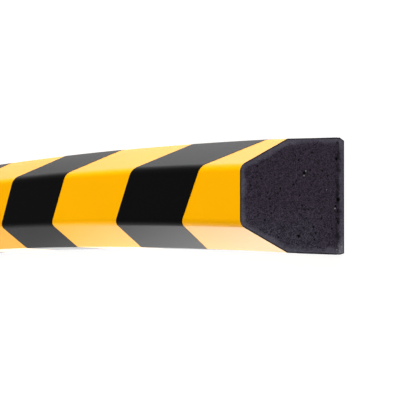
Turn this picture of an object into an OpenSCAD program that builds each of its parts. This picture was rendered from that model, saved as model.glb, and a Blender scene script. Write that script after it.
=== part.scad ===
// Impact protection strip: a flexible foam profile with a tapered front that is
// glued to an edge or a wall by its flat back. A yellow coating lies flush in the
// foam, round the front, the bevels and the sides, and black warning stripes are
// printed on it. Units are millimetres. The strip lies on its back: X runs along
// it, with the end that is seen at +X, Y runs across, and Z points out of the back.

/* [Strip] */
// Length along the middle of the back face
strip_length = 1000; // [300:10:1500]
// Width across the back face
back_width = 40; // [36:0.5:60]
// Depth from the back face to the front face
strip_depth = 40; // [34:0.5:60]
// Width of the flat front face, between its sharp corners
front_width = 19.9; // [12:0.1:24]
// Height of the sides, from the back face to the shoulders
side_height = 22; // [12:0.5:26]
// How far each side leans in between the back and its shoulder
side_draft = 0.75; // [0:0.05:2]
// Radius of the gentle sideways bow that the flexible strip lies in
bow_radius = 6180; // [3000:20:12000]

/* [Edges] */
// Radius of the two long edges of the front face
front_edge_r = 3.3; // [1.5:0.1:5]
// Radius of the two shoulders, where the bevels meet the sides
shoulder_r = 1.4; // [1:0.1:5]
// Width of the small bevel at each back corner, across the back
back_bevel_w = 1.1; // [0.4:0.1:3]
// Height of the small bevel at each back corner, up the side
back_bevel_h = 1.7; // [0.4:0.1:4]

/* [Coating] */
// Thickness of the yellow coating
coating_t = 0.4; // [0.2:0.05:0.8]
// Bare foam left between the coating and each cut end
end_margin = 0.3; // [0.2:0.05:3]
// Height over which the coating thins out to nothing above each back bevel
feather_h = 0.8; // [0.4:0.1:3]

/* [Warning stripes] */
// Width of a black stripe, measured along the strip
black_w = 57; // [20:1:120]
// Width of the yellow between two black stripes, measured along the strip
yellow_w = 63; // [20:1:120]
// Lean of the stripes away from straight across
stripe_lean = 37; // [0:1:55]
// Yellow between the seen end and the first black stripe, on the middle of the front
first_yellow = 37.2; // [0:0.1:120]
// Thickness of the printed layer
print_t = 0.12; // [0.08:0.01:0.3]
// Space between the print and the coating, which keeps the two solids apart
print_gap = 0.02; // [0.02:0.005:0.05]

/* [Cut end] */
// Size of the open pores in the seen end, as a share of their usual size
pore_scale = 1; // [0.4:0.1:1.8]

/* [Hidden] */
$fn = 32;
// Flat steps round one edge of the front and round one shoulder
front_steps = 6;
shoulder_steps = 3;
// Share of the space under the print that the flat facets along the bow may take up
facet_share = 0.9;
facet_l = sqrt(8 * bow_radius * facet_share * print_gap);
// Overlap that keeps cutting shapes clear of the faces they pass through
clear = 1;

// Open pores in the seen end: place across, height above the back, diameter
pores = [
    [7.7, 15.7, 1.3],
    [-13.6, 17.7, 1.2],
    [-3.6, 28.5, 0.7],
    [3.8, 19.8, 0.7],
    [-1.2, 2.3, 1.5],
    [-3.4, 3.4, 0.9],
    [12.6, 3, 1.2]
];

// The section is worked out on its right half, from the front face round to the back
front_corner = [front_width / 2, strip_depth];
shoulder = [back_width / 2 - side_draft, side_height];
back_corner = [back_width / 2, back_bevel_h];
back_foot = [back_width / 2 - back_bevel_w, 0];
front_dir = [1, 0];
bevel_dir = unit(shoulder - front_corner);
side_dir = unit(back_corner - shoulder);
front_arc = arc_centre(front_corner, front_dir, bevel_dir, front_edge_r);
shoulder_arc = arc_centre(shoulder, bevel_dir, side_dir, shoulder_r);

// The print follows the outline as far as the coating keeps its thickness
print_inside = both_halves(half_outline(-print_gap));
print_outside = both_halves(half_outline(-print_gap - print_t));
wraps = whole_wraps();
last_wrap = len(wraps) - 1;

// Along the strip, a stripe moves by this much for each millimetre round the section
stripe_slope = tan(stripe_lean);
stripe_pitch = black_w + yellow_w;
stripe_steps = ceil(black_w / facet_l);
stripe_reach = stripe_slope * wraps[last_wrap];
first_stripe = ceil(-(first_yellow + black_w + stripe_reach) / stripe_pitch);
last_stripe = floor((strip_length - first_yellow + stripe_reach) / stripe_pitch);

// Distances from the seen end at which the coating's section is set out along the bow
coated_l = strip_length - 2 * end_margin;
bow_steps = ceil(coated_l / facet_l);
stations = [for (i = [0:bow_steps]) end_margin + coated_l * i / bow_steps];

function unit(v) = v / norm(v);
function outward(dir) = [-dir.y, dir.x];
function turn(a, b) = acos(a * b);
function reversed(list) = [for (i = [len(list) - 1:-1:0]) list[i]];
function mirrored(points) = [for (p = reversed(points)) [-p.x, p.y]];
function degrees_along(distance) = distance / bow_radius * 180 / PI;

// Centre of the arc that rounds the corner between two faces
function arc_centre(corner, a, b, r) =
    corner - a * r * tan(turn(a, b) / 2) - outward(a) * r;

// Points round a corner's arc, from one face to the next
function arc_points(centre, a, b, r, steps) = [
    for (i = [0:steps])
        let (tilt = atan2(outward(a).y, outward(a).x) - turn(a, b) * i / steps)
            centre + r * [cos(tilt), sin(tilt)]
];

// Point on the side face, sunk by a depth, where the coating starts to thin out
function side_point(depth) =
    let (p = back_corner - outward(side_dir) * depth)
        p + side_dir * (back_bevel_h + feather_h - p.y) / side_dir.y;

// Outline of the front, the bevels and the sides on the right half, sunk by a depth
function half_outline(depth) = concat(
    arc_points(front_arc, front_dir, bevel_dir, front_edge_r - depth, front_steps),
    arc_points(shoulder_arc, bevel_dir, side_dir, shoulder_r - depth, shoulder_steps),
    [side_point(depth)]
);

function both_halves(right) = concat(mirrored(right), right);

// Distance round the outline from the middle of the front to one of its points
function wrap_to(points, i) =
    i == 0 ? points[0].x : wrap_to(points, i - 1) + norm(points[i] - points[i - 1]);

function whole_wraps() =
    let (
        points = half_outline(0),
        right = [for (i = [0:len(points) - 1]) wrap_to(points, i)]
    )
        concat(-reversed(right), right);

// A point of the section, carried along the bow to a distance from the seen end
function on_bow(distance, p) =
    let (angle = degrees_along(strip_length / 2 - distance))
        [
            (bow_radius + p.x) * sin(angle),
            (bow_radius + p.x) * cos(angle) - bow_radius,
            p.y
        ];

// Outline of the foam, with its face sunk by a depth to take the coating
function foam_outline(depth) =
    both_halves(concat(half_outline(depth), [back_corner, back_foot]));

// Outline of the coating, which wraps the foam from one back bevel to the other
function coating_outline() =
    concat(
        both_halves(concat(half_outline(0), [back_corner])),
        reversed(both_halves(half_outline(coating_t)))
    );

function ring(distance, outline) = [for (p = outline) on_bow(distance, p)];

// Closed solid through rings of as many points each, from the seen end to the far one
module loft(rings) {
    n = len(rings[0]);
    last = len(rings) - 1;
    polyhedron(
        [for (r = rings) each r],
        [
            for (i = [0:last - 1], j = [0:n - 1])
                let (a = i * n + j, b = i * n + (j + 1) % n)
                    [a, a + n, b + n, b],
            [for (j = [0:n - 1]) j],
            [for (j = [n - 1:-1:0]) last * n + j]
        ]
    );
}

// Places things square to the strip, at a distance from its seen end
module at_distance(distance) {
    translate([0, -bow_radius, 0])
        rotate([0, 0, -degrees_along(strip_length / 2 - distance)])
            translate([0, bow_radius, 0])
                children();
}

// One printed stripe that wraps round the front, the bevels and the sides at one lean
module stripe(near) {
    across = last_wrap + 1;
    along = stripe_steps + 1;
    points = [
        for (outline = [print_inside, print_outside], i = [0:last_wrap], j = [0:stripe_steps])
            on_bow(near + black_w * j / stripe_steps - stripe_slope * wraps[i], outline[i])
    ];
    function inside(i, j) = i * along + j;
    function outside(i, j) = (across + i) * along + j;
    quads = [
        for (i = [0:last_wrap - 1], j = [0:stripe_steps - 1])
            each [
                [outside(i, j), outside(i, j + 1), outside(i + 1, j + 1), outside(i + 1, j)],
                [inside(i + 1, j + 1), inside(i, j + 1), inside(i, j), inside(i + 1, j)]
            ],
        for (i = [0:last_wrap - 1], j = stripe_steps)
            each [
                [inside(i, 0), outside(i, 0), outside(i + 1, 0), inside(i + 1, 0)],
                [inside(i + 1, j), outside(i + 1, j), outside(i, j), inside(i, j)]
            ],
        for (j = [0:stripe_steps - 1], i = last_wrap)
            each [
                [outside(0, j), inside(0, j), inside(0, j + 1), outside(0, j + 1)],
                [inside(i, j), outside(i, j), outside(i, j + 1), inside(i, j + 1)]
            ]
    ];
    polyhedron(points, [for (q = quads) each [[q[0], q[1], q[2]], [q[0], q[2], q[3]]]]);
}

// Room past one end of the coating, where a stripe is cut off
module past_end() {
    span = 2 * (stripe_reach + black_w + back_width);
    translate([0, -back_width, -clear])
        cube([span, 2 * back_width, strip_depth + 4 * clear]);
}

module foam_body() {
    color([0.17, 0.16, 0.18])
        difference() {
            loft(concat(
                [for (d = [0, end_margin]) ring(d, foam_outline(0))],
                [for (d = stations) ring(d, foam_outline(coating_t))],
                [for (d = [strip_length - end_margin, strip_length]) ring(d, foam_outline(0))]
            ));
            at_distance(0)
                for (pore = pores)
                    translate([0, pore[0], pore[1]])
                        sphere(d = pore[2] * pore_scale);
        }
}

module yellow_coating() {
    color([1, 0.7, 0.02])
        loft([for (d = stations) ring(d, coating_outline())]);
}

module black_stripes() {
    color([0.08, 0.08, 0.08])
        difference() {
            for (i = [first_stripe:last_stripe])
                stripe(first_yellow + i * stripe_pitch);
            at_distance(end_margin)
                past_end();
            at_distance(strip_length - end_margin)
                mirror([1, 0, 0])
                    past_end();
        }
}

foam_body();
yellow_coating();
black_stripes();
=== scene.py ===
# Looks of a foam impact protection strip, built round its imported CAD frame

import math
import random
from typing import NamedTuple

import bmesh
import bpy
from bpy.props import FloatProperty, FloatVectorProperty, IntProperty, PointerProperty
from mathutils import Matrix, Quaternion, Vector
from mathutils.geometry import delaunay_2d_cdt


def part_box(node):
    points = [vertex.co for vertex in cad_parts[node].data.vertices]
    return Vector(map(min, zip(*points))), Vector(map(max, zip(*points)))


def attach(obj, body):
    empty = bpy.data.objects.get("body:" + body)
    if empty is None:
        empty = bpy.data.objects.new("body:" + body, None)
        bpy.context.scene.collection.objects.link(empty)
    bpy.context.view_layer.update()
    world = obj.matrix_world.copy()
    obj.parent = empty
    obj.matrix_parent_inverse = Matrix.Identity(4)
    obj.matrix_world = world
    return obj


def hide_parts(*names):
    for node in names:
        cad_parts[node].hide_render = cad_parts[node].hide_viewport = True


bl_info = {
    "name": "Impact Protection Strip",
    "version": (1, 0, 0),
    "blender": (4, 5, 0),
    "location": "View3D > Sidebar > Strip",
    "description": "Foam body, yellow coating and black stripes of a guard strip, and its stage",
    "category": "Add Mesh",
}

MM = 0.001

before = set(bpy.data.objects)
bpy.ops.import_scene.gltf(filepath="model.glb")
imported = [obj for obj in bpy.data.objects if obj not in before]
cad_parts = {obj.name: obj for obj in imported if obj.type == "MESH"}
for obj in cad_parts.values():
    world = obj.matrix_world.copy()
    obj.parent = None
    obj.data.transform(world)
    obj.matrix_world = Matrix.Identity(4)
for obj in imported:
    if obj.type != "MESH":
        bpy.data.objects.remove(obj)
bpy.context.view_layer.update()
FOAM_LOW, FOAM_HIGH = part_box("foam_body")


def length(name, description, default):
    """A size in metres that the user can change."""
    return FloatProperty(
        name=name, description=description, default=default, unit="LENGTH", precision=5
    )


def colour(name, description, default):
    """A colour that the user can change, in linear light."""
    return FloatVectorProperty(
        name=name, description=description, default=default, subtype="COLOR", size=3, min=0, max=1
    )


def share(name, description, default):
    """A share or a strength that the user can change."""
    return FloatProperty(name=name, description=description, default=default, min=0, soft_max=1)


class StripSizes(bpy.types.PropertyGroup):
    """Form of the strip and of the layers on it"""

    strip_length: length("Strip length", "Length along the middle of the back", 1.0)
    bow_radius: length("Bow radius", "Radius of the gentle sideways bow", 6.18)
    back_width: length("Back width", "Width across the flat back", 40 * MM)
    strip_depth: length("Strip depth", "From the back to the front", FOAM_HIGH.z - FOAM_LOW.z)
    front_width: length("Front width", "Width of the front between its sharp corners", 19.9 * MM)
    side_height: length("Side height", "From the back to the shoulders", 22 * MM)
    side_draft: length("Side draft", "How far each side leans in", 0.75 * MM)
    front_edge_r: length("Front edge radius", "Rounding of the long front edges", 3.3 * MM)
    shoulder_r: length("Shoulder radius", "Rounding where bevels meet sides", 1.4 * MM)
    back_bevel_w: length("Back bevel width", "Small bevel, across the back", 1.1 * MM)
    back_bevel_h: length("Back bevel height", "Small bevel, up the side", 1.7 * MM)
    left_bevel_w: length("Left bevel width", "The same bevel at the -Y side, across the back", 0.45 * MM)
    coating_t: length("Coating thickness", "Thickness of the yellow coating", 0.4 * MM)
    end_margin: length("End margin", "Bare foam between the coating and a cut end", 0.3 * MM)
    feather_h: length("Feather height", "Height over which the coating thins out", 0.8 * MM)
    cut_lean: FloatProperty(
        name="Cut lean",
        description="How far the seen end is cut out of square, so that its -Y side is longer",
        default=math.radians(0.9),
        subtype="ANGLE",
    )
    point_spacing: length("Point spacing", "Distance between points round the section", 0.5 * MM)
    row_spacing: length("Row spacing", "Distance between rows along the strip", 15 * MM)


class StripeSizes(bpy.types.PropertyGroup):
    """Layout of the printed warning stripes"""

    black_w: length("Black width", "Width of a black stripe along the strip", 57 * MM)
    yellow_w: length("Yellow width", "Yellow between two black stripes", 63 * MM)
    first_yellow: length("First yellow", "Yellow before the first stripe, on the front", 37.2 * MM)
    print_t: length("Print thickness", "Thickness of the printed layer", 0.05 * MM)
    print_gap: length("Print gap", "Space between the print and the coating", 0.02 * MM)
    lean: FloatProperty(
        name="Lean",
        description="Lean of the stripes away from straight across",
        default=math.radians(37),
        subtype="ANGLE",
    )
    columns: IntProperty(
        name="Columns", description="Flat steps across one stripe", default=4, min=1, max=20
    )


class FoamLook(bpy.types.PropertyGroup):
    """Colours and cells of the bare foam"""

    cut_colour: colour("Cut foam", "Freshly cut foam cells", (0.026, 0.0195, 0.031))
    cool_colour: colour("Cool cut foam", "Cut foam towards the -Y side", (0.032, 0.028, 0.040))
    rim_colour: colour("Dense rim", "Denser foam just under the skin", (0.092, 0.086, 0.112))
    skin_colour: colour("Moulded skin", "Outer skin of the foam", (0.008, 0.0065, 0.006))
    scuff_colour: colour("Scuffed foam", "Foam rubbed pale at the back corner", (0.17, 0.165, 0.19))
    # Pale colour of each crumb bump: a painted glint beside a pore, on a small real bump
    glint_crumb_colour: colour("Crumbs", "Loose crumbs of foam on the cut face", (0.22, 0.215, 0.225))
    # Near-black inside the pores is painted shade in their hollows
    pore_shade_colour: colour("Pits", "Inside of an open pore", (0.002, 0.002, 0.002))
    rim_depth: length("Rim depth", "Depth of the denser foam under the skin", 1.8 * MM)
    line_depth: length("Line depth", "Depth of the dark line round a cut face", 0.35 * MM)
    seam_height: length("Seam height", "Dark seam's height above the back", 2.6 * MM)
    seam_width: length("Seam width", "Width of the dark seam", 0.9 * MM)
    seam_voids: IntProperty(
        name="Seam voids", description="Rows of open pores along the seam", default=12, min=0, max=60
    )
    cell_size: length("Cell size", "Size of the foam cells that show as grain", 0.4 * MM)
    cell_spacing: length("Mesh spacing", "Distance between points of a cut face", 0.8 * MM)
    small_pores: IntProperty(
        name="Small pores", description="Small open pores in a cut face", default=45, min=0, max=400
    )


class CoatLook(bpy.types.PropertyGroup):
    """Colours of the glossy coating and print"""

    yellow: colour("Yellow", "Coating", (0.95, 0.43, 0.0))
    black: colour("Black", "Print", (0.004, 0.004, 0.004))


class StageLook(bpy.types.PropertyGroup):
    """Camera, floor and lamps"""

    camera_place: FloatVectorProperty(
        name="Camera place",
        description="From the middle of the seen end's back edge: out of the end, across and up",
        default=(0.601793, -0.000517, 0.355040),
        subtype="TRANSLATION",
    )
    camera_aim: FloatVectorProperty(
        name="Camera aim",
        description="Point that the camera looks at, measured in the same way",
        default=(-0.069784, -0.001762, 0.020021),
        subtype="TRANSLATION",
    )
    camera_roll: FloatProperty(
        name="Camera roll",
        description="Roll that lays the strip on its side in the picture",
        default=math.radians(-89.6396),
        subtype="ANGLE",
    )
    camera_lens: FloatProperty(
        name="Lens", description="Focal length on a 36 mm wide sensor", default=183.585, unit="CAMERA"
    )
    floor_size: length("Floor size", "Side of the square floor", 14.0)
    floor_grey: share("Floor grey", "How much light the floor sends back", 0.7)
    shadow_grey: share("Shadow depth", "How much of the shadows the camera sees on the floor", 0.22)
    floor_glow: share("Floor glow", "White that the camera sees on the floor, shadow or not", 0.84)
    mirror_near: share("Mirrored near", "Floor as the -Y side mirrors it, by the seen end", 1.7)
    mirror_far: share("Mirrored far", "Floor as the -Y side mirrors it, further along", 0.27)
    mirror_even: share("Mirrored even", "Floor as the +Y side mirrors it", 0.6)
    mirror_beside: share("Mirrored beside", "Floor close beside the strip, as its sides mirror it", 1.8)
    fade_start: length("Fade start", "X at which the mirrored floor starts to fade", 0.4)
    fade_end: length("Fade end", "X at which the mirrored floor has faded", 0.18)
    room_light: share("Room light", "Light of the room on the camera's side", 0.8)
    wall_low: share("Far wall low", "Light of the room's far side, close to the floor", 0.26)
    wall_high: share("Far wall high", "Light of the room's far side, higher up", 0.005)


# Where things lie on the bowed strip


def bow_angle(distance, sizes):
    """Angle round the bow, in radians, at a distance from the seen end."""
    return (sizes.strip_length / 2 - distance) / sizes.bow_radius


def end_frame(sizes, distance):
    """Frame on the middle of the back at a distance: along the strip, across it and up."""
    angle = bow_angle(distance, sizes)
    along = Vector((math.cos(angle), -math.sin(angle), 0))
    across = Vector((math.sin(angle), math.cos(angle), 0))
    place = across * sizes.bow_radius - Vector((0, sizes.bow_radius, 0))
    made = Matrix.Identity(4)
    for column, axis in enumerate((along, across, Vector((0, 0, 1)), place)):
        for row in range(3):
            made[row][column] = axis[row]
    return made


# Short calls that make a node tree read as a list of steps


class Steps:
    """Adds nodes to a tree, each linked to the sockets or set to the values that it is given."""

    def __init__(self, tree):
        self.tree = tree

    def node(self, kind, inputs=None, **settings):
        node = self.tree.nodes.new(kind)
        for name, value in settings.items():
            setattr(node, name, value)
        for name, value in (inputs or {}).items():
            self.feed(node.inputs[name], value)
        return node

    def feed(self, socket, value):
        if isinstance(value, bpy.types.NodeSocket):
            self.tree.links.new(value, socket)
        else:
            socket.default_value = value

    def maths(self, operation, *values):
        inputs = dict(enumerate(values))
        return self.node("ShaderNodeMath", inputs, operation=operation).outputs[0]

    def plus(self, first, second):
        return self.maths("ADD", first, second)

    def minus(self, first, second):
        return self.maths("SUBTRACT", first, second)

    def times(self, first, second):
        return self.maths("MULTIPLY", first, second)

    def over(self, first, second):
        return self.maths("DIVIDE", first, second)

    def vector(self, operation, *values):
        inputs = dict(enumerate(values))
        node = self.node("ShaderNodeVectorMath", inputs, operation=operation)
        scalar = operation in ("DOT_PRODUCT", "LENGTH", "DISTANCE")
        return node.outputs["Value" if scalar else "Vector"]

    def scaled(self, vector, factor):
        node = self.node("ShaderNodeVectorMath", {0: vector, "Scale": factor}, operation="SCALE")
        return node.outputs["Vector"]

    def joined(self, x, y, z):
        return self.node("ShaderNodeCombineXYZ", {0: x, 1: y, 2: z}).outputs[0]

    def split(self, vector):
        return self.node("ShaderNodeSeparateXYZ", {0: vector}).outputs

    def between(self, value, low, high, to_low=0.0, to_high=1.0, smooth=False):
        """Carries a value from one range over to another, and holds it at the ends."""
        kind = "SMOOTHSTEP" if smooth else "LINEAR"
        inputs = {0: value, 1: low, 2: high, 3: to_low, 4: to_high}
        return self.node("ShaderNodeMapRange", inputs, interpolation_type=kind).outputs[0]

    def on_points(self, node_kind, inputs, kind):
        """Adds a node that works on the points' values of a kind."""
        return self.node(node_kind, inputs, data_type=kind, domain="POINT").outputs[0]

    def stored(self, geometry, name, value, kind="FLOAT"):
        inputs = {"Geometry": geometry, "Name": name, "Value": value}
        return self.on_points("GeometryNodeStoreNamedAttribute", inputs, kind)

    def named(self, name, kind="FLOAT"):
        node = self.node("GeometryNodeInputNamedAttribute", {"Name": name}, data_type=kind)
        return node.outputs["Attribute"]

    def sampled(self, geometry, value, index, kind="FLOAT"):
        inputs = {"Geometry": geometry, "Value": value, "Index": index}
        return self.on_points("GeometryNodeSampleIndex", inputs, kind)

    def chosen(self, index, values, kind="FLOAT"):
        node = self.node("GeometryNodeIndexSwitch", data_type=kind)
        while len(node.index_switch_items) < len(values):
            node.index_switch_items.new()
        self.feed(node.inputs["Index"], index)
        for place, value in enumerate(values, start=1):
            self.feed(node.inputs[place], value)
        return node.outputs[0]

    def placed(self, geometry, position):
        inputs = {"Geometry": geometry, "Position": position}
        return self.node("GeometryNodeSetPosition", inputs).outputs[0]

    def group(self, tree, given, inputs):
        """Adds a tree as a node: like-named inputs come from the group input, the rest as given."""
        node = self.node("GeometryNodeGroup", node_tree=tree)
        for socket in node.inputs:
            if socket.name in inputs:
                self.feed(socket, inputs[socket.name])
            elif socket.name in given:
                self.tree.links.new(given[socket.name], socket)
        return node.outputs


FLOAT = "NodeSocketFloat"
INTEGER = "NodeSocketInt"
VECTOR = "NodeSocketVector"
SWITCH = "NodeSocketBool"
MESH = "NodeSocketGeometry"
MATERIAL = "NodeSocketMaterial"

SECTION_NAMES = (
    "Back width",
    "Strip depth",
    "Front width",
    "Side height",
    "Side draft",
    "Front edge radius",
    "Shoulder radius",
    "Back bevel width",
    "Back bevel height",
    "Left bevel width",
    "Feather height",
    "Point spacing",
)
SECTION_INPUTS = dict.fromkeys(SECTION_NAMES, FLOAT)
BOW_INPUTS = {"Bow radius": FLOAT, "Strip length": FLOAT}
SWEEP_INPUTS = {
    **SECTION_INPUTS,
    **BOW_INPUTS,
    "End margin": FLOAT,
    "Cut lean": FLOAT,
    "Material": MATERIAL,
}
COATED_INPUTS = {**SWEEP_INPUTS, "Coating thickness": FLOAT, "Row spacing": FLOAT}
# Attributes that only the trees need
HELPER_ATTRIBUTES = ("sunk_by", "column")
# Points round one rounded corner of the section
ARC_POINTS = 10
# Points of a piece nearer than this become one
MERGE_DISTANCE = 0.001 * MM
# Least angle between faces at which an edge stays sharp
SHARP_ANGLE = math.radians(35)


def new_tree(name, inputs, outputs):
    """A geometry node tree, with its sockets by name and a maker for its steps."""
    tree = bpy.data.node_groups.new(name, "GeometryNodeTree")
    for label, kind in inputs.items():
        tree.interface.new_socket(label, in_out="INPUT", socket_type=kind)
    for label, kind in outputs.items():
        tree.interface.new_socket(label, in_out="OUTPUT", socket_type=kind)
    given = {s.name: s for s in tree.nodes.new("NodeGroupInput").outputs if s.name}
    made = {s.name: s for s in tree.nodes.new("NodeGroupOutput").inputs if s.name}
    return Steps(tree), given, made


def outline_tree():
    """Section's outline as points in order, from one side round the front to the other."""
    inputs = {**SECTION_INPUTS, "Start height": FLOAT, "With back": SWITCH}
    steps, given, made = new_tree("Section outline", inputs, {"Outline": MESH})
    half_back = steps.over(given["Back width"], 2.0)
    half_front = steps.over(given["Front width"], 2.0)
    shoulder_x = steps.minus(half_back, given["Side draft"])
    foot_x = steps.minus(half_back, given["Back bevel width"])
    lean_in = steps.between(
        given["Start height"], given["Back bevel height"], given["Side height"], 0.0, given["Side draft"]
    )
    start_x = steps.minus(half_back, lean_in)
    right = [
        steps.joined(half_front, given["Strip depth"], 0.0),
        steps.joined(shoulder_x, given["Side height"], 0.0),
        steps.joined(start_x, given["Start height"], 0.0),
        steps.joined(foot_x, 0.0, 0.0),
    ]
    front, shoulder, start, foot = right
    left_front, left_shoulder, left_start = [
        steps.vector("MULTIPLY", corner, (-1, 1, 1)) for corner in right[:3]
    ]
    left_foot = steps.joined(steps.minus(given["Left bevel width"], half_back), 0.0, 0.0)
    corners = [left_start, left_shoulder, left_front, front, shoulder, start, foot, left_foot]
    edge_r, shoulder_r = given["Front edge radius"], given["Shoulder radius"]
    radii = [0.0, shoulder_r, edge_r, edge_r, shoulder_r, 0.0, 0.0, 0.0]
    index = steps.node("GeometryNodeInputIndex").outputs[0]
    # The last two corners are the feet of the back bevels
    count = steps.maths("MULTIPLY_ADD", given["With back"], 2.0, len(corners) - 2.0)
    line = steps.node("GeometryNodeMeshLine", {"Count": count}).outputs[0]
    line = steps.placed(line, steps.chosen(index, corners, "VECTOR"))
    line = steps.stored(line, "corner_radius", steps.chosen(index, radii))
    curve = steps.node("GeometryNodeMeshToCurve", {"Mesh": line}).outputs[0]
    curve = steps.node(
        "GeometryNodeSetSplineCyclic", {"Geometry": curve, "Cyclic": given["With back"]}
    ).outputs[0]
    fillet = {"Curve": curve, "Count": ARC_POINTS, "Radius": steps.named("corner_radius")}
    curve = steps.node("GeometryNodeFilletCurve", fillet, mode="POLY").outputs[0]
    curve = subdivided(steps, curve, given["Point spacing"])
    way_round = steps.node("GeometryNodeSplineParameter").outputs["Length"]
    whole_way = steps.node("GeometryNodeSplineLength").outputs["Length"]
    wrap = steps.minus(way_round, steps.over(whole_way, 2.0))
    curve = steps.stored(curve, "wrap", wrap)
    tangent = steps.split(steps.node("GeometryNodeInputTangent").outputs[0])
    outward = steps.joined(steps.times(tangent[1], -1.0), tangent[0], 0.0)
    curve = steps.stored(curve, "outward", outward, "FLOAT_VECTOR")
    height = steps.split(steps.node("GeometryNodeInputPosition").outputs[0])[1]
    full_height = steps.plus(given["Back bevel height"], given["Feather height"])
    coated = steps.between(height, given["Back bevel height"], full_height)
    curve = steps.stored(curve, "coated", coated)
    outline = steps.node("GeometryNodeCurveToMesh", {"Curve": curve}).outputs[0]
    steps.feed(made["Outline"], outline)
    return steps.tree


def subdivided(steps, curve, spacing):
    """Adds points to the long straight stretches of a curve, a spacing apart."""
    here = steps.node("GeometryNodeInputPosition").outputs[0]
    index = steps.node("GeometryNodeInputIndex").outputs[0]
    size = steps.node("GeometryNodeAttributeDomainSize", {"Geometry": curve}, component="CURVE")
    after = steps.maths("MODULO", steps.plus(index, 1.0), size.outputs["Point Count"])
    looked_up = {"Value": here, "Index": after}
    there = steps.on_points("GeometryNodeFieldAtIndex", looked_up, "FLOAT_VECTOR")
    stretch = steps.vector("DISTANCE", here, there)
    cuts = steps.maths("FLOOR", steps.over(stretch, spacing))
    return steps.node("GeometryNodeSubdivideCurve", {"Curve": curve, "Cuts": cuts}).outputs[0]


def bow_tree():
    """Carries a point of the section, and its outward direction, along the bow."""
    inputs = {**BOW_INPUTS, "Distance": FLOAT, "Point": VECTOR, "Outward": VECTOR}
    outputs = {"Position": VECTOR, "Direction": VECTOR}
    steps, given, made = new_tree("Bow", inputs, outputs)
    half_l = steps.over(given["Strip length"], 2.0)
    from_middle = steps.minus(half_l, given["Distance"])
    angle = steps.over(from_middle, given["Bow radius"])
    sine = steps.maths("SINE", angle)
    cosine = steps.maths("COSINE", angle)
    point = steps.split(given["Point"])
    reach = steps.plus(given["Bow radius"], point[0])
    across = steps.minus(steps.times(reach, cosine), given["Bow radius"])
    steps.feed(made["Position"], steps.joined(steps.times(reach, sine), across, point[1]))
    out = steps.split(given["Outward"])
    direction = steps.joined(steps.times(out[0], sine), steps.times(out[0], cosine), out[1])
    steps.feed(made["Direction"], direction)
    return steps.tree


def merged(steps, geometry):
    """Joins points of a mesh that lie in one place."""
    inputs = {"Geometry": geometry, "Distance": MERGE_DISTANCE}
    return steps.node("GeometryNodeMergeByDistance", inputs).outputs[0]


def layer_tree():
    """Closes an outward-facing surface into a layer, by an offset from its outside to its inside."""
    steps, given, made = new_tree("Closed layer", {"Surface": MESH, "Offset": VECTOR}, {"Layer": MESH})
    flipped = steps.node("GeometryNodeFlipFaces", {"Mesh": given["Surface"]}).outputs[0]
    extruded = steps.node(
        "GeometryNodeExtrudeMesh", {"Mesh": flipped, "Offset Scale": 0.0, "Individual": False}
    )
    mesh, top = extruded.outputs["Mesh"], extruded.outputs["Top"]
    inner = steps.node(
        "GeometryNodeSetPosition", {"Geometry": mesh, "Selection": top, "Offset": given["Offset"]}
    ).outputs[0]
    joined = steps.node("GeometryNodeJoinGeometry")
    steps.tree.links.new(given["Surface"], joined.inputs[0])
    steps.tree.links.new(inner, joined.inputs[0])
    steps.feed(made["Layer"], merged(steps, joined.outputs[0]))
    return steps.tree


def surface_rows(steps, outline, rows, closed):
    """A grid with a column for each point of the outline, and each vertex's column and row."""
    size = steps.node("GeometryNodeAttributeDomainSize", {"Geometry": outline}).outputs["Point Count"]
    columns = steps.plus(size, 1.0) if closed else size
    grid = steps.node("GeometryNodeMeshGrid", {"Vertices X": columns, "Vertices Y": rows}).outputs[0]
    index = steps.node("GeometryNodeInputIndex").outputs[0]
    column = steps.maths("FLOOR", steps.over(steps.plus(index, 0.5), rows))
    row = steps.minus(index, steps.times(column, rows))
    if closed:
        column = steps.maths("FLOORED_MODULO", column, size)
    return grid, column, row


def coated_bays(steps, given):
    """Length of the strip between its end margins, and how many bays of rows it takes."""
    margins = steps.times(given["End margin"], 2.0)
    coated_l = steps.minus(given["Strip length"], margins)
    return coated_l, steps.maths("CEIL", steps.over(coated_l, given["Row spacing"]))


def section_point(steps, outline, column):
    """Place of the outline's point in a column, and its outward direction."""
    here = steps.node("GeometryNodeInputPosition").outputs[0]
    point = steps.sampled(outline, here, column, "FLOAT_VECTOR")
    outward = steps.named("outward", "FLOAT_VECTOR")
    return point, steps.sampled(outline, outward, column, "FLOAT_VECTOR")


def layered(steps, layer_group, given, surface, on_bow, depth):
    """Puts a surface on the bow and closes it into a layer of a depth."""
    sunk_by = steps.scaled(on_bow["Direction"], steps.times(depth, -1.0))
    surface = steps.stored(surface, "sunk_by", sunk_by, "FLOAT_VECTOR")
    surface = steps.placed(surface, on_bow["Position"])
    layer_inputs = {"Surface": surface, "Offset": steps.named("sunk_by", "FLOAT_VECTOR")}
    return steps.group(layer_group, given, layer_inputs)[0]


def cut_reach(steps, given, point):
    """How far the leaning cut of the seen end lies beyond a square one, at a section's point."""
    across = steps.split(point)[0]
    half_back = steps.over(given["Back width"], 2.0)
    from_edge = steps.minus(half_back, across)
    return steps.times(from_edge, steps.maths("TANGENT", given["Cut lean"]))


def finished(steps, geometry, given, made):
    """Ends a tree: instances realised and the piece's material set."""
    real = steps.node("GeometryNodeRealizeInstances", {"Geometry": geometry}).outputs[0]
    painted = steps.node("GeometryNodeSetMaterial", {"Geometry": real, "Material": given["Material"]})
    steps.feed(made["Piece"], painted.outputs[0])
    return steps.tree


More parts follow.
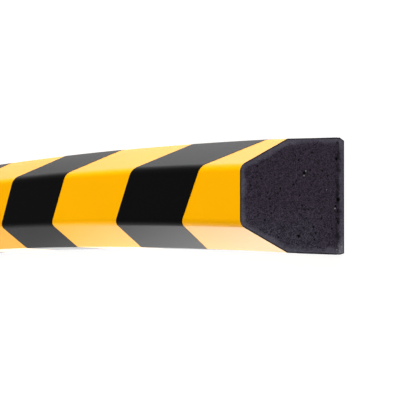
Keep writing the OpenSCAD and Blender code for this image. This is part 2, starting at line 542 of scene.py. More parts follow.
def coating_tree(outline_group, bow_group, layer_group):
    """Yellow coating: the outline swept between the end margins, as thick as it is coated."""
    steps, given, made = new_tree("Yellow coating", COATED_INPUTS, {"Piece": MESH})
    start = {"Start height": given["Back bevel height"], "With back": False}
    outline = steps.group(outline_group, given, start)[0]
    coated_l, bays = coated_bays(steps, given)
    rows = steps.plus(bays, 1.0)
    grid, column, row = surface_rows(steps, outline, rows, closed=False)
    way_along = steps.over(row, bays)
    distance = steps.maths("MULTIPLY_ADD", way_along, coated_l, given["End margin"])
    point, outward = section_point(steps, outline, column)
    at_seen_end = steps.maths("LESS_THAN", row, 0.5)
    reach = steps.times(at_seen_end, cut_reach(steps, given, point))
    distance = steps.minus(distance, reach)
    coated = steps.sampled(outline, steps.named("coated"), column)
    on_bow = steps.group(bow_group, given, {"Distance": distance, "Point": point, "Outward": outward})
    depth = steps.times(coated, given["Coating thickness"])
    layer = layered(steps, layer_group, given, grid, on_bow, depth)
    return finished(steps, layer, given, made)


def foam_tree(outline_group, bow_group):
    """Foam body's walls: the whole outline swept from end to end, sunk under the coating."""
    steps, given, made = new_tree("Foam body", COATED_INPUTS, {"Piece": MESH})
    start = {"Start height": given["Back bevel height"], "With back": True}
    outline = steps.group(outline_group, given, start)[0]
    coated_l, bays = coated_bays(steps, given)
    # Two rows at each end hold the bare margin, and those between them lie under the coating
    rows = steps.plus(bays, 5.0)
    last_row = steps.minus(rows, 1.0)
    grid, column, row = surface_rows(steps, outline, rows, closed=True)
    way_along = steps.between(row, 2.0, steps.plus(bays, 2.0))
    distance = steps.maths("MULTIPLY_ADD", way_along, coated_l, given["End margin"])
    at_seen_end = steps.maths("LESS_THAN", row, 0.5)
    at_far_end = steps.maths("GREATER_THAN", row, steps.minus(last_row, 0.5))
    step_out = steps.minus(at_far_end, at_seen_end)
    distance = steps.maths("MULTIPLY_ADD", step_out, given["End margin"], distance)
    from_end = steps.maths("MINIMUM", row, steps.minus(last_row, row))
    under_coating = steps.maths("GREATER_THAN", from_end, 1.5)
    point, outward = section_point(steps, outline, column)
    by_seen_end = steps.maths("LESS_THAN", row, 2.5)
    reach = steps.times(by_seen_end, cut_reach(steps, given, point))
    distance = steps.minus(distance, reach)
    coated = steps.times(steps.sampled(outline, steps.named("coated"), column), under_coating)
    depth = steps.times(coated, given["Coating thickness"])
    sunk = steps.vector("SUBTRACT", point, steps.scaled(outward, depth))
    on_bow = steps.group(bow_group, given, {"Distance": distance, "Point": sunk, "Outward": outward})
    walls = merged(steps, steps.placed(grid, on_bow["Position"]))
    return finished(steps, walls, given, made)


def stripes_tree(outline_group, bow_group, layer_group):
    """Black stripes: one flat stripe, repeated along the strip, trimmed and wrapped round it."""
    inputs = {
        **SWEEP_INPUTS,
        "Black width": FLOAT,
        "Yellow width": FLOAT,
        "First yellow": FLOAT,
        "Print thickness": FLOAT,
        "Print gap": FLOAT,
        "Lean": FLOAT,
        "Columns": INTEGER,
    }
    steps, given, made = new_tree("Black stripes", inputs, {"Piece": MESH})
    side_height = steps.plus(given["Back bevel height"], given["Feather height"])
    outline = steps.group(outline_group, given, {"Start height": side_height, "With back": False})[0]
    rows = steps.plus(given["Columns"], 1.0)
    grid, column, row = surface_rows(steps, outline, rows, closed=False)
    wrap = steps.sampled(outline, steps.named("wrap"), column)
    slope = steps.maths("TANGENT", given["Lean"])
    width_share = steps.over(row, given["Columns"])
    across_stripe = steps.times(width_share, given["Black width"])
    flat_x = steps.minus(across_stripe, steps.times(slope, wrap))
    stripe = steps.stored(grid, "column", column)
    stripe = steps.placed(stripe, steps.joined(flat_x, wrap, 0.0))

    pitch = steps.plus(given["Black width"], given["Yellow width"])
    reach = steps.times(slope, given["Back width"])
    reach = steps.times(reach, 2.0)
    before = steps.plus(steps.plus(given["First yellow"], given["Black width"]), reach)
    skipped = steps.maths("FLOOR", steps.over(before, pitch))
    first_x = steps.minus(given["First yellow"], steps.times(skipped, pitch))
    covered = steps.plus(steps.minus(given["Strip length"], first_x), reach)
    count = steps.plus(steps.maths("FLOOR", steps.over(covered, pitch)), 1.0)
    start = steps.joined(first_x, 0.0, 0.0)
    offset = steps.joined(pitch, 0.0, 0.0)
    line = {"Count": count, "Start Location": start, "Offset": offset}
    places = steps.node("GeometryNodeMeshLine", line).outputs[0]
    instances = {"Points": places, "Instance": stripe}
    repeated = steps.node("GeometryNodeInstanceOnPoints", instances).outputs[0]
    flat = steps.node("GeometryNodeRealizeInstances", {"Geometry": repeated}).outputs[0]

    here = steps.split(steps.node("GeometryNodeInputPosition").outputs[0])
    point, outward = section_point(steps, outline, steps.named("column"))
    near_limit = steps.minus(given["End margin"], cut_reach(steps, given, point))
    far_limit = steps.minus(given["Strip length"], given["End margin"])
    trimmed_x = steps.maths("MINIMUM", steps.maths("MAXIMUM", here[0], near_limit), far_limit)
    flat = steps.placed(flat, steps.joined(trimmed_x, here[1], 0.0))
    area = steps.node("GeometryNodeInputMeshFaceArea").outputs[0]
    empty = steps.maths("LESS_THAN", area, MERGE_DISTANCE * MERGE_DISTANCE)
    flat = steps.node(
        "GeometryNodeDeleteGeometry", {"Geometry": flat, "Selection": empty}, domain="FACE"
    ).outputs[0]
    flat = merged(steps, flat)

    raised = steps.plus(given["Print gap"], given["Print thickness"])
    outside = steps.vector("ADD", point, steps.scaled(outward, raised))
    on_bow = steps.group(bow_group, given, {"Distance": here[0], "Point": outside, "Outward": outward})
    layer = layered(steps, layer_group, given, flat, on_bow, given["Print thickness"])
    return finished(steps, layer, given, made)


def input_values(*groups):
    """Values of property groups by the names that the trees' inputs have."""
    values = {}
    for group in groups:
        for key, prop in group.bl_rna.properties.items():
            if key not in ("rna_type", "name"):
                values[prop.name] = getattr(group, key)
    return values


def baked(name, tree, values):
    """Runs a node tree and keeps its result as a plain mesh object at the origin."""
    piece = bpy.data.objects.new(name, bpy.data.meshes.new(name))
    bpy.context.scene.collection.objects.link(piece)
    modifier = piece.modifiers.new(tree.name, "NODES")
    modifier.node_group = tree
    for item in tree.interface.items_tree:
        if item.in_out == "INPUT":
            modifier[item.identifier] = values[item.name]
    bpy.context.view_layer.update()
    depsgraph = bpy.context.evaluated_depsgraph_get()
    mesh = bpy.data.meshes.new_from_object(piece.evaluated_get(depsgraph))
    if not mesh.polygons:
        raise RuntimeError(f"{name} came out with no faces")
    piece.modifiers.remove(modifier)
    piece.data = mesh
    mesh.name = name
    if mesh.materials[0] is None:
        mesh.materials.pop(index=0)
    for helper in HELPER_ATTRIBUTES:
        if helper in mesh.attributes:
            mesh.attributes.remove(mesh.attributes[helper])
    return piece


def smooth_but_edges(piece):
    """Shades a piece smooth, but keeps its sharp edges."""
    piece.data.shade_smooth()
    piece.data.set_sharp_from_angle(angle=SHARP_ANGLE)


# Cut ends of the foam

# Open pores of the seen end in millimetres, as in the solids: place across, height, diameter
PORES = (
    (7.7, 15.7, 1.3),
    (-13.6, 17.7, 1.2),
    (-3.6, 28.5, 0.7),
    (3.8, 19.8, 0.7),
    (-1.2, 2.3, 1.5),
    (-3.4, 3.4, 0.9),
    (12.6, 3.0, 1.2),
)
# Small raised bumps of foam on the seen end, in the same way, each coloured pale as a painted glint
# beside a pore
GLINT_CRUMBS = (
    (6.9, 15.7, 0.5),
    (8.4, 15.0, 0.5),
    (-4.2, 3.6, 0.5),
    (2.1, 6.9, 0.35),
    (-18.3, 2.9, 0.45),
    (-17.2, 1.1, 0.35),
)
# Rings of points round a pore or a crumb: share of its radius and number of points
PORE_RINGS = ((0.35, 10), (0.7, 12), (0.92, 14), (1.0, 14), (1.15, 14))
# Share of its radius within which a pore is hollow or a crumb stands out
ROUND_REACH = 0.999
# Depths of the rings of points inside a cut face's edge, in millimetres
RIM_RINGS = (0.12, 0.3, 0.6, 0.9, 1.2, 1.6)
# How much less than its depth a ring's point may keep from another face, in millimetres
RIM_SLACK = 0.06
# Space between the last of these rings and the even spread of points, in millimetres
SPREAD_GAP = 0.4
# How much of its half diameter a crumb stands out
CRUMB_HEIGHT = 0.6
# Seeds of the chance pores, and the limits of their diameters in millimetres
SEEN_END_SEED, FAR_END_SEED = 3, 8
SMALL_PORE = (0.4, 0.85)
SEAM_VOID = (0.4, 0.75)
# Share of the back's width along which the seam has voids, and how many millimetres they wander
SEAM_SPAN = 0.85
SEAM_WANDER = 0.3
# Voids in a row of the seam, and the step between them as a share of their diameter
SEAM_ROWS = (1, 2, 3, 4)
VOID_STEP = 0.5
# Skin that stays clear of small pores
CLEAR_SKIN = 3 * MM
# Points of a cut face nearer than this become one
LEAST_SPACING = 0.02 * MM
SAME_POINT = 0.0005 * MM
# Triangles that the triangulation keeps: those inside the outline
INSIDE_ONLY = 1


def skin_depth(point, sizes):
    """Distance of a point of the section from its nearest outside face."""
    half_back, half_front = sizes.back_width / 2, sizes.front_width / 2
    across, height = abs(point[0]), point[1]
    shoulder = Vector((half_back - sizes.side_draft, sizes.side_height))
    front_corner = Vector((half_front, sizes.strip_depth))
    back_corner = Vector((half_back, sizes.back_bevel_h))
    bevel_w = sizes.back_bevel_w if point[0] > 0 else sizes.left_bevel_w
    foot = Vector((half_back - bevel_w, 0))
    here = Vector((across, height))
    depths = [sizes.strip_depth - height, height]
    for start, end in ((front_corner, shoulder), (shoulder, back_corner), (back_corner, foot)):
        along = (end - start).normalized()
        inward = Vector((along.y, -along.x))
        depths.append((here - start).dot(inward))
    return min(depths)


def scattered_pores(sizes, count, dice):
    """Small pores spread over a cut face, clear of its rim, as place and diameter."""
    made = []
    while len(made) < count:
        across = dice.uniform(-sizes.back_width / 2, sizes.back_width / 2)
        place = Vector((across, dice.uniform(0, sizes.strip_depth)))
        diameter = dice.uniform(*SMALL_PORE) * MM
        clear = all((place - other[0]).length > diameter + other[1] for other in made)
        if skin_depth(place, sizes) > CLEAR_SKIN and clear:
            made.append((place, diameter))
    return made


def seam_voids(sizes, look, dice):
    """Rows of touching pores along the seam behind the dense back, as place and diameter."""
    made = []
    for _ in range(look.seam_voids):
        start = dice.uniform(-sizes.back_width / 2, sizes.back_width / 2) * SEAM_SPAN
        height = look.seam_height + dice.uniform(-SEAM_WANDER, SEAM_WANDER) * MM
        diameter = dice.uniform(*SEAM_VOID) * MM
        for link in range(dice.choice(SEAM_ROWS)):
            made.append((Vector((start + link * VOID_STEP * diameter, height)), diameter))
    return made


def in_metres(rounds):
    """Pores or crumbs of a list in millimetres, as place and diameter."""
    return [(Vector((across, height)) * MM, wide * MM) for across, height, wide in rounds]


def all_pores(sizes, look, seen):
    """Pores of a cut face: those of the solids, small scattered ones and voids along the seam."""
    dice = random.Random(SEEN_END_SEED if seen else FAR_END_SEED)
    own = in_metres(PORES) if seen else []
    extra = scattered_pores(sizes, look.small_pores, dice) + seam_voids(sizes, look, dice)
    apart = [pore for pore in extra if all((pore[0] - o[0]).length > o[1] + pore[1] for o in own)]
    return own + apart


def rim_points(ring, sizes):
    """Rows of points inside the rim of a cut face."""
    points = []
    middle = Vector((0, sizes.strip_depth / 2))
    for inset in RIM_RINGS:
        for place, point in enumerate(ring):
            along = (ring[(place + 1) % len(ring)] - ring[place - 1]).normalized()
            inward = Vector((along.y, -along.x))
            if inward.dot(middle - point) < 0:
                inward = -inward
            moved = point + inward * inset * MM
            if skin_depth(moved, sizes) > (inset - RIM_SLACK) * MM:
                points.append(moved)
    return points


def lattice_points(sizes, spacing, pores):
    """Even spread of points over the inside of a cut face, clear of its pores."""
    points = []
    row_step = spacing * math.sqrt(3) / 2
    for row in range(math.ceil(sizes.strip_depth / row_step)):
        shift = spacing / 2 if row % 2 else 0
        for column in range(math.ceil(sizes.back_width / spacing)):
            place = Vector((column * spacing + shift - sizes.back_width / 2, row * row_step))
            near = any((place - middle).length < diameter for middle, diameter in pores)
            if skin_depth(place, sizes) > (RIM_RINGS[-1] + SPREAD_GAP) * MM and not near:
                points.append(place)
    return points


def well_apart(points, least):
    """Points in their order, without those that lie almost on an earlier one."""
    kept, taken = [], set()
    for point in points:
        column, row = round(point.x / least), round(point.y / least)
        near = {(column + i, row + j) for i in (-1, 0, 1) for j in (-1, 0, 1)}
        if not near & taken:
            kept.append(point)
            taken.add((column, row))
    return kept


def round_points(pores):
    """Middle of each pore or crumb and rings of points round it."""
    points = []
    for middle, diameter in pores:
        points.append(middle)
        for share_of_radius, count in PORE_RINGS:
            for step in range(count):
                turn = 2 * math.pi * step / count
                arm = Vector((math.cos(turn), math.sin(turn)))
                points.append(middle + arm * share_of_radius * diameter / 2)
    return points


def round_depth(point, pores):
    """How deep a point of a cut face lies in a pore, or how high it stands on a crumb."""
    depths = [0.0]
    for middle, diameter in pores:
        reach = (point - middle).length / (diameter / 2)
        if reach < ROUND_REACH:
            depths.append(diameter / 2 * math.sqrt(1 - reach * reach))
    return max(depths)


def close_cut_end(bm, loop, sizes, look):
    """Fills a ring of wall vertices with a cut face that has open pores."""
    seen = loop[0].co.x > 0
    place = end_frame(sizes, 0 if seen else sizes.strip_length)
    into_foam = -1 if seen else 1
    slope = math.tan(sizes.cut_lean) if seen else 0
    pores = all_pores(sizes, look, seen)
    glint_crumbs = in_metres(GLINT_CRUMBS) if seen else []
    flat = [place.inverted() @ vertex.co for vertex in loop]
    ring = [Vector((point.y, point.z)) for point in flat]
    points = ring + rim_points(ring, sizes) + round_points(pores + glint_crumbs)
    points += lattice_points(sizes, look.cell_spacing, pores + glint_crumbs)
    points = well_apart(points, LEAST_SPACING)
    edges = [(i, (i + 1) % len(ring)) for i in range(len(ring))]
    made = delaunay_2d_cdt(points, edges, [list(range(len(ring)))], INSIDE_ONLY, SAME_POINT)
    places, _, triangles, sources = made[:4]
    on_face = bm.verts.layers.float_vector["on_face"]
    pit = bm.verts.layers.float["pit"]
    vertices = []
    for point, source in zip(places, sources):
        wall = [i for i in source if i < len(ring)]
        sunk = round_depth(point, pores) - CRUMB_HEIGHT * round_depth(point, glint_crumbs)
        reach = slope * (sizes.back_width / 2 - point.x)
        inner = Vector((reach + into_foam * sunk, point.x, point.y))
        vertex = loop[wall[0]] if wall else bm.verts.new(place @ inner)
        vertex[on_face] = (point.x, point.y, max(skin_depth(point, sizes), 0))
        vertex[pit] = sunk
        vertices.append(vertex)
    for corners in triangles:
        face = bm.faces.new([vertices[i] for i in corners])
        face.material_index = 1
        face.smooth = True


def close_cut_ends(piece, sizes, look):
    """Closes both ends of the foam's walls with cut faces."""
    bm = bmesh.new()
    bm.from_mesh(piece.data)
    bm.verts.layers.float_vector.new("on_face")
    bm.verts.layers.float.new("pit")
    for loop in ordered_loops(bm):
        close_cut_end(bm, loop, sizes, look)
    if any(not edge.is_manifold for edge in bm.edges):
        raise RuntimeError(f"{piece.name} is not closed")
    bmesh.ops.recalc_face_normals(bm, faces=bm.faces)
    bm.to_mesh(piece.data)
    bm.free()


def ordered_loops(bm):
    """Rings of boundary vertices of an open mesh, each in order."""
    # A list keeps its order, which a set does not, so each run makes the same mesh
    open_edges = [edge for edge in bm.edges if edge.is_boundary]
    loops = []
    while open_edges:
        edge = open_edges.pop()
        loop = [edge.verts[0], edge.verts[1]]
        while True:
            following = [e for e in loop[-1].link_edges if e in open_edges]
            if not following:
                break
            open_edges.remove(following[0])
            loop.append(following[0].other_vert(loop[-1]))
        if loop[0] == loop[-1]:
            loop.pop()
        loops.append(loop)
    return loops


# Materials


def new_material(name):
    """A material with a Principled shader, and a maker for its steps."""
    material = bpy.data.materials.new(name)
    material.use_nodes = True
    shader = material.node_tree.nodes["Principled BSDF"]
    return material, Steps(material.node_tree), shader


def object_point(steps):
    return steps.node("ShaderNodeTexCoord").outputs["Object"]


def noise(steps, point, size, detail=2.0, roughness=0.5):
    """Noise from 0 to 1 with lumps of about a size in metres."""
    inputs = {"Vector": point, "Scale": 1 / size, "Detail": detail, "Roughness": roughness}
    return steps.node("ShaderNodeTexNoise", inputs).outputs[0]


def mixed(steps, factor, first, second):
    """Blend of two colours."""
    node = steps.node("ShaderNodeMix", data_type="RGBA")
    for place, value in ((0, factor), (6, first), (7, second)):
        steps.feed(node.inputs[place], value)
    return node.outputs[2]


def bumped(steps, shader, height, distance, strength=1.0):
    inputs = {"Height": height, "Distance": distance, "Strength": strength}
    bump = steps.node("ShaderNodeBump", inputs)
    steps.feed(shader.inputs["Normal"], bump.outputs[0])


def opaque(colour_value, factor=1.0):
    """A colour, made lighter or darker by a factor."""
    return (*(factor * value for value in colour_value), 1.0)


def gloss_material(name, base, roughness, gloss):
    """Smooth glossy flexible lacquer, faintly uneven."""
    material, steps, shader = new_material(name)
    point = object_point(steps)
    cloudy = noise(steps, point, 30 * MM)
    shade = mixed(steps, cloudy, opaque(base, 0.94), opaque(base))
    steps.feed(shader.inputs["Base Color"], shade)
    shader.inputs["Roughness"].default_value = roughness
    shader.inputs["IOR"].default_value = 1.5
    shader.inputs["Specular IOR Level"].default_value = gloss
    bumped(steps, shader, noise(steps, point, 2.5 * MM, detail=1.0), 0.01 * MM, 0.5)
    return material


def skin_material(look):
    """Moulded outer skin of the foam: close, matt and faintly grained."""
    material, steps, shader = new_material("Moulded foam skin")
    point = object_point(steps)
    grain = noise(steps, point, 1.2 * MM, detail=4.0)
    shade = mixed(steps, grain, opaque(look.skin_colour), opaque(look.skin_colour, 1.5))
    steps.feed(shader.inputs["Base Color"], shade)
    shader.inputs["Roughness"].default_value = 0.6
    bumped(steps, shader, grain, 0.05 * MM, 0.6)
    return material


def band(steps, value, middle, width):
    """1 in the middle of a band of values, falling to 0 at a width to either side."""
    away = steps.maths("ABSOLUTE", steps.minus(value, middle))
    return steps.between(away, 0.3 * width, width, 1.0, 0.0, smooth=True)


def foam_speckle(steps, point, look):
    """Light and dark cells of cut foam, from 0 to 1."""
    fine = noise(steps, point, look.cell_size, detail=2.0, roughness=0.8)
    coarse = noise(steps, point, 3 * look.cell_size, detail=2.0, roughness=0.6)
    both = steps.plus(steps.times(fine, 0.78), steps.times(coarse, 0.22))
    return steps.between(both, 0.41, 0.59)


# Dark and light cells of cut foam, as shares of its colour
DARK_CELLS, LIGHT_CELLS = 0.25, 1.75


def cell_colours(steps, look, speckle, across, height):
    """Colour of the dark and the light cells, cooler towards the -Y side."""
    cool = steps.between(across, -2 * MM, -12 * MM)
    cool = steps.times(cool, steps.between(height, 3 * MM, 14 * MM))
    warm_light = opaque(look.cut_colour, LIGHT_CELLS)
    light = mixed(steps, cool, warm_light, opaque(look.cool_colour, LIGHT_CELLS))
    return mixed(steps, speckle, opaque(look.cut_colour, DARK_CELLS), light)


def dense_rim(steps, look, point, speckle, depth):
    """Share of the dense rim's colour: uneven, and close under the skin."""
    patchy = noise(steps, point, 5 * MM, detail=2.0)
    wander = steps.between(patchy, 0.3, 0.7, 0.3 * look.rim_depth, -0.3 * look.rim_depth)
    wandering = steps.plus(depth, wander)
    rim = steps.between(wandering, 0.45 * look.rim_depth, 1.4 * look.rim_depth, 1.0, 0.0, smooth=True)
    rim = steps.times(rim, steps.between(patchy, 0.3, 0.7, 0.55, 0.9))
    return steps.times(rim, steps.between(speckle, 0.0, 1.0, 0.6, 1.0))


def dark_seam(steps, look, point, height, depth):
    """Share of the seam's dark colour: a broken line that ends short of the skin."""
    seam = band(steps, height, look.seam_height, look.seam_width)
    broken = noise(steps, point, 2 * MM)
    seam = steps.times(seam, steps.between(broken, 0.42, 0.62, 0.15, 0.95))
    return steps.times(seam, steps.between(depth, 0.8 * MM, 1.6 * MM))


def scuffed_corner(steps, sizes, speckle, across, height):
    """Share of the scuffs' pale colour, round the back corner on the -Y side."""
    from_side = steps.times(steps.plus(across, sizes.back_width / 2), 0.55)
    to_corner = steps.vector("LENGTH", steps.joined(from_side, height, 0.0))
    scuffed = steps.between(to_corner, 1.6 * MM, 3.6 * MM, 1.0, 0.0)
    return steps.times(scuffed, steps.between(speckle, 0.1, 0.8, 0.35, 1.0))


def cut_foam_material(look, sizes):
    """Cut foam: fine dark cells, a lighter dense rim under the skin and a dark outer line, with painted
    shade in the pores and a painted glint on each crumb bump.
    """
    material, steps, shader = new_material("Cut foam")
    point = object_point(steps)
    speckle = foam_speckle(steps, point, look)
    on_face = steps.node("ShaderNodeAttribute", attribute_name="on_face").outputs["Vector"]
    across, height, depth = steps.split(on_face)
    pit = steps.node("ShaderNodeAttribute", attribute_name="pit").outputs["Fac"]
    outer_line = steps.between(
        depth, 0.5 * look.line_depth, 1.3 * look.line_depth, 1.0, 0.0, smooth=True
    )
    layers = (
        (dense_rim(steps, look, point, speckle, depth), opaque(look.rim_colour)),
        (dark_seam(steps, look, point, height, depth), opaque(look.cut_colour, DARK_CELLS)),
        (scuffed_corner(steps, sizes, speckle, across, height), opaque(look.scuff_colour)),
        (outer_line, opaque(look.skin_colour)),
        # Painted shade: the pores darkened with their depth
        (steps.between(pit, 0.0, 0.3 * MM), opaque(look.pore_shade_colour)),
        # Painted glint: each crumb bump made pale
        (steps.between(pit, -0.01 * MM, -0.06 * MM), opaque(look.glint_crumb_colour)),
    )
    shade = cell_colours(steps, look, speckle, across, height)
    for layer_share, layer_colour in layers:
        shade = mixed(steps, layer_share, shade, layer_colour)
    steps.feed(shader.inputs["Base Color"], shade)
    shader.inputs["Roughness"].default_value = 0.9
    shader.inputs["Specular IOR Level"].default_value = 0.1
    bumped(steps, shader, speckle, 0.2 * MM, 0.6)
    return material


# Operators, one for each piece and one for the stage


class STRIP_OT_foam_body(bpy.types.Operator):
    """Sweep the tapered foam section along the bow and close it with two cut ends"""

    bl_idname = "strip.foam_body"
    bl_label = "Foam body"

    def execute(self, context):
        scene = context.scene
        sizes, look = scene.strip_sizes, scene.foam_look
        tree = foam_tree(outline_tree(), bow_tree())
        values = {**input_values(sizes), "Material": skin_material(look)}
        piece = baked("foam_body_visual", tree, values)
        piece.data.materials.append(cut_foam_material(look, sizes))
        close_cut_ends(piece, sizes, look)
        smooth_but_edges(piece)
        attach(piece, "root")
        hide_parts("foam_body")
        return {"FINISHED"}


class STRIP_OT_yellow_coating(bpy.types.Operator):
    """Lay the yellow coating flush into the foam, round the front, the bevels and the sides"""

    bl_idname = "strip.yellow_coating"
    bl_label = "Yellow coating"

    def execute(self, context):
        scene = context.scene
        tree = coating_tree(outline_tree(), bow_tree(), layer_tree())
        lacquer = gloss_material("Yellow lacquer", scene.coat_look.yellow, roughness=0.2, gloss=0.5)
        values = {**input_values(scene.strip_sizes), "Material": lacquer}
        piece = baked("yellow_coating_visual", tree, values)
        smooth_but_edges(piece)
        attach(piece, "root")
        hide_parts("yellow_coating")
        return {"FINISHED"}


class STRIP_OT_black_stripes(bpy.types.Operator):
    """Print the black stripes on the coating, wrapped round it at one lean"""

    bl_idname = "strip.black_stripes"
    bl_label = "Black stripes"

    def execute(self, context):
        scene = context.scene
        tree = stripes_tree(outline_tree(), bow_tree(), layer_tree())
        lacquer = gloss_material("Black print", scene.coat_look.black, roughness=0.25, gloss=0.08)
        values = {**input_values(scene.strip_sizes, scene.stripe_sizes), "Material": lacquer}
        piece = baked("black_stripes_visual", tree, values)
        smooth_but_edges(piece)
        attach(piece, "root")
        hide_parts("black_stripes")
        return {"FINISHED"}


# How far under the strip the floor lies
FLOOR_DROP = 0.1 * MM
# Distances from the strip's sides over which the floor close beside it gives way to the rest
CLOSE_BESIDE = (12 * MM, 22 * MM)


def mirrored_floor(steps, look, sizes):
    """Brightness of the floor in the glossy sides: fading along one side, even along the other."""
    point = object_point(steps)
    place = steps.split(point)
    away = steps.between(place[0], look.fade_start, look.fade_end, 0.0, 1.0)
    fading = steps.between(steps.maths("POWER", away, 0.7), 0.0, 1.0, look.mirror_near, look.mirror_far)
    even_side = steps.between(place[1], -10 * MM, 10 * MM)
    even = steps.between(away, 0.0, 1.0, 1.3 * look.mirror_even, 0.7 * look.mirror_even)
    further_off = steps.between(even_side, 0.0, 1.0, fading, even)
    bow_centre = (0, -sizes.bow_radius, 0)
    from_centre = steps.vector("DISTANCE", point, bow_centre)
    from_strip = steps.maths("ABSOLUTE", steps.minus(from_centre, sizes.bow_radius))
    beside = steps.minus(from_strip, sizes.back_width / 2)
    close_by = steps.between(beside, *CLOSE_BESIDE, 1.0, 0.0, smooth=True)
    return steps.between(close_by, 0.0, 1.0, further_off, look.mirror_beside)


def matt(steps, grey):
    """Shader of a matt grey surface."""
    return steps.node("ShaderNodeBsdfDiffuse", {"Color": (grey, grey, grey, 1)}).outputs[0]


def glowing(steps, strength):
    """Shader of a surface that gives off white light."""
    return steps.node("ShaderNodeEmission", {"Strength": strength}).outputs[0]


def add_floor(look, sizes):
    """Pale floor that shows white and keeps a soft shadow."""
    half = look.floor_size / 2
    mesh = bpy.data.meshes.new("floor")
    corners = [(-half, -half), (half, -half), (half, half), (-half, half)]
    mesh.from_pydata([(x, y, -FLOOR_DROP) for x, y in corners], [], [(0, 1, 2, 3)])
    floor = bpy.data.objects.new("floor", mesh)
    bpy.context.scene.collection.objects.link(floor)
    material = bpy.data.materials.new("Pale floor")
    material.use_nodes = True
    steps = Steps(material.node_tree)
    material.node_tree.nodes.remove(material.node_tree.nodes["Principled BSDF"])
    rays = steps.node("ShaderNodeLightPath").outputs
    seen_by_camera = steps.maths("MAXIMUM", rays["Is Camera Ray"], rays["Is Transmission Ray"])
    diffuse = matt(steps, look.floor_grey)
    mirror_glow = glowing(steps, mirrored_floor(steps, look, sizes))
    unseen = steps.node("ShaderNodeMixShader", {0: rays["Is Glossy Ray"], 1: diffuse, 2: mirror_glow})
    shadowed = {0: matt(steps, look.shadow_grey), 1: glowing(steps, look.floor_glow)}
    white = steps.node("ShaderNodeAddShader", shadowed).outputs[0]
    both = steps.node("ShaderNodeMixShader", {0: seen_by_camera, 1: unseen.outputs[0], 2: white})
    output = material.node_tree.nodes["Material Output"]
    steps.feed(output.inputs["Surface"], both.outputs[0])
    mesh.materials.append(material)


class Lamp(NamedTuple):
    """A soft rectangular lamp, placed from the point that it looks at"""

    name: str
    aim: tuple  # point that it looks at: out of the end, across and up
    away: tuple  # from that point to the lamp
    size: tuple  # width and height
    watts: float
    mirrored: bool  # whether the glossy faces show it


SEEN_END_LAMPS = (
    Lamp("overhead lamp", (-0.12, 0, 0.02), (0.25, 0.1, 1.3), (0.9, 0.9), 5.8, True),
    Lamp("right side lamp", (-0.2496, -0.0105, 0.02), (0, 0.62, 0.2), (0.5, 0.25), 6.1, True),
    Lamp("left near lamp", (-0.1399, -0.0016, 0.02), (0, -0.165, 0.02), (0.08, 0.05), 0.2, False),
    Lamp("left row lamp", (-0.6233, -0.0408, 0.02), (0, -0.21, 0.025), (0.75, 0.06), 1.04, False),
    Lamp("camera side lamp", (-0.12, 0, 0.02), (1.5, 0, 0.35), (0.8, 0.4), 5.0, False),
)
FAR_END_LAMPS = (Lamp("far end lamp", (0, 0, 0.02), (-0.6, 0, 0.08), (0.4, 0.2), 1.5, False),)


def place_looking(thing, place, aim, roll=0.0):
    """Places a camera or a lamp so that it looks at a point."""
    bpy.context.scene.collection.objects.link(thing)
    thing.location = place
    thing.rotation_mode = "QUATERNION"
    turn = (aim - place).to_track_quat("-Z", "Y")
    thing.rotation_quaternion = turn @ Quaternion((0, 0, 1), roll)


def add_lamp(lamp, end):
    """Adds a lamp by the frame of an end of the strip."""
    data = bpy.data.lights.new(lamp.name, "AREA")
    data.shape = "RECTANGLE"
    data.size, data.size_y = lamp.size
    data.energy = lamp.watts
    made = bpy.data.objects.new(lamp.name, data)
    made.visible_glossy = lamp.mirrored
    aim = end @ Vector(lamp.aim)
    place_looking(made, aim + Vector(lamp.away), aim)


def add_camera(look, seen_end):
    """Camera at the photograph's viewing angle, with the strip on its side."""
    data = bpy.data.cameras.new("camera")
    data.lens = look.camera_lens
    data.sensor_width = 36
    data.clip_start = 50 * MM
    camera = bpy.data.objects.new("camera", data)
    place = seen_end @ Vector(look.camera_place)
    place_looking(camera, place, seen_end @ Vector(look.camera_aim), look.camera_roll)
    bpy.context.scene.camera = camera


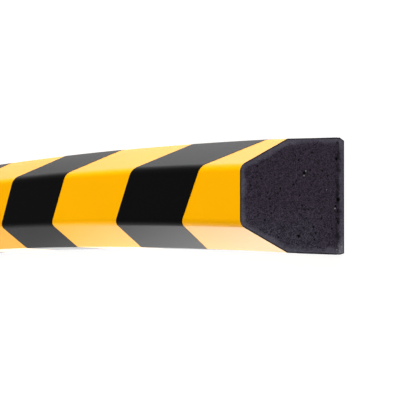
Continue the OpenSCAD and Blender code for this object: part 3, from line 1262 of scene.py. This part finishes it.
def add_world(look):
    """Pale room with a dark side behind the strip, which its front mirrors."""
    world = bpy.data.worlds.new("Pale room")
    bpy.context.scene.world = world
    world.use_nodes = True
    steps = Steps(world.node_tree)
    background = world.node_tree.nodes["Background"]
    direction = steps.node("ShaderNodeTexCoord").outputs["Generated"]
    towards_camera, _, up = steps.split(direction)
    far_wall = steps.between(up, 0.0, 0.3, look.wall_low, look.wall_high, smooth=True)
    room = steps.between(towards_camera, -0.55, 0.1, far_wall, look.room_light, smooth=True)
    rays = steps.node("ShaderNodeLightPath").outputs
    seen = steps.maths("MAXIMUM", rays["Is Camera Ray"], rays["Is Transmission Ray"])
    strength = steps.maths("MAXIMUM", room, seen)
    background.inputs["Color"].default_value = (1, 1, 1, 1)
    steps.feed(background.inputs["Strength"], strength)


class STRIP_OT_stage(bpy.types.Operator):
    """Set up the camera, the pale floor, the lamps and the room"""

    bl_idname = "strip.stage"
    bl_label = "Stage"

    def execute(self, context):
        scene = context.scene
        look, sizes = scene.stage_look, scene.strip_sizes
        seen_end = end_frame(sizes, 0)
        far_end = end_frame(sizes, sizes.strip_length)
        add_camera(look, seen_end)
        add_floor(look, sizes)
        for lamp in SEEN_END_LAMPS:
            add_lamp(lamp, seen_end)
        for lamp in FAR_END_LAMPS:
            add_lamp(lamp, far_end)
        add_world(look)
        scene.view_settings.view_transform = "Standard"
        return {"FINISHED"}


class STRIP_PT_panel(bpy.types.Panel):
    """Steps that build the strip"""

    bl_label = "Impact Protection Strip"
    bl_idname = "STRIP_PT_panel"
    bl_space_type = "VIEW_3D"
    bl_region_type = "UI"
    bl_category = "Strip"

    def draw(self, context):
        for operator in OPERATORS:
            self.layout.operator(operator.bl_idname)


OPERATORS = (STRIP_OT_stage, STRIP_OT_foam_body, STRIP_OT_yellow_coating, STRIP_OT_black_stripes)
GROUPS = {
    "strip_sizes": StripSizes,
    "stripe_sizes": StripeSizes,
    "foam_look": FoamLook,
    "coat_look": CoatLook,
    "stage_look": StageLook,
}


def register():
    for group in GROUPS.values():
        bpy.utils.register_class(group)
    for name, group in GROUPS.items():
        setattr(bpy.types.Scene, name, PointerProperty(type=group))
    for operator in (*OPERATORS, STRIP_PT_panel):
        bpy.utils.register_class(operator)


def unregister():
    for operator in (STRIP_PT_panel, *OPERATORS):
        bpy.utils.unregister_class(operator)
    for name, group in GROUPS.items():
        delattr(bpy.types.Scene, name)
        bpy.utils.unregister_class(group)


def main():
    register()
    bpy.ops.strip.stage()
    bpy.ops.strip.foam_body()
    bpy.ops.strip.yellow_coating()
    bpy.ops.strip.black_stripes()


if __name__ == "__main__":
    main()
